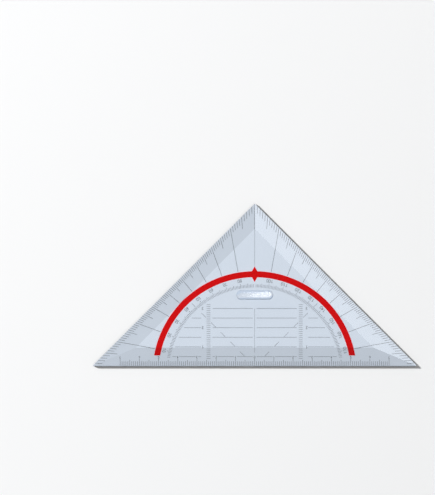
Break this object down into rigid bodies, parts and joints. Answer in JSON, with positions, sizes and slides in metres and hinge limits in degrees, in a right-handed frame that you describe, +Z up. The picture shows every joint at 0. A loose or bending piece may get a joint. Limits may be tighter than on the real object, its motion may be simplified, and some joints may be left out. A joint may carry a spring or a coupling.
{
  "type": "drafting triangle",
  "caption": "Clear right-angled set square with sloping edges, a ruler on its long edge, a red protractor arc and a raised finger grip.",
  "frame": {"origin": "the ruler's zero mark: the middle of the long edge, on the underside", "axes": "+X along the long edge, +Y toward the right-angled apex, +Z up from the underside through the plate"},
  "size_m": [0.1682, 0.0845, 0.0047],
  "materials": {
    "clear_plastic": "clear, polished, faint blue tint",
    "red_ink": "flat opaque red print",
    "black_ink": "flat opaque black print"
  },
  "bodies": {
    "root": {"clear_plate": "clear_plastic", "finger_grip": "clear_plastic", "protractor_band": "red_ink", "right_angle_pointer": "red_ink", "ruler_ticks": "black_ink", "ruler_numerals": "black_ink", "leg_degree_ticks": "black_ink", "ten_degree_lines": "black_ink", "inner_degree_ticks": "black_ink", "degree_numerals": "black_ink", "height_ticks": "black_ink", "height_numerals": "black_ink", "parallel_lines": "black_ink", "diagonal_dashes": "black_ink", "centre_line": "black_ink"}
  },
  "joints": []
}
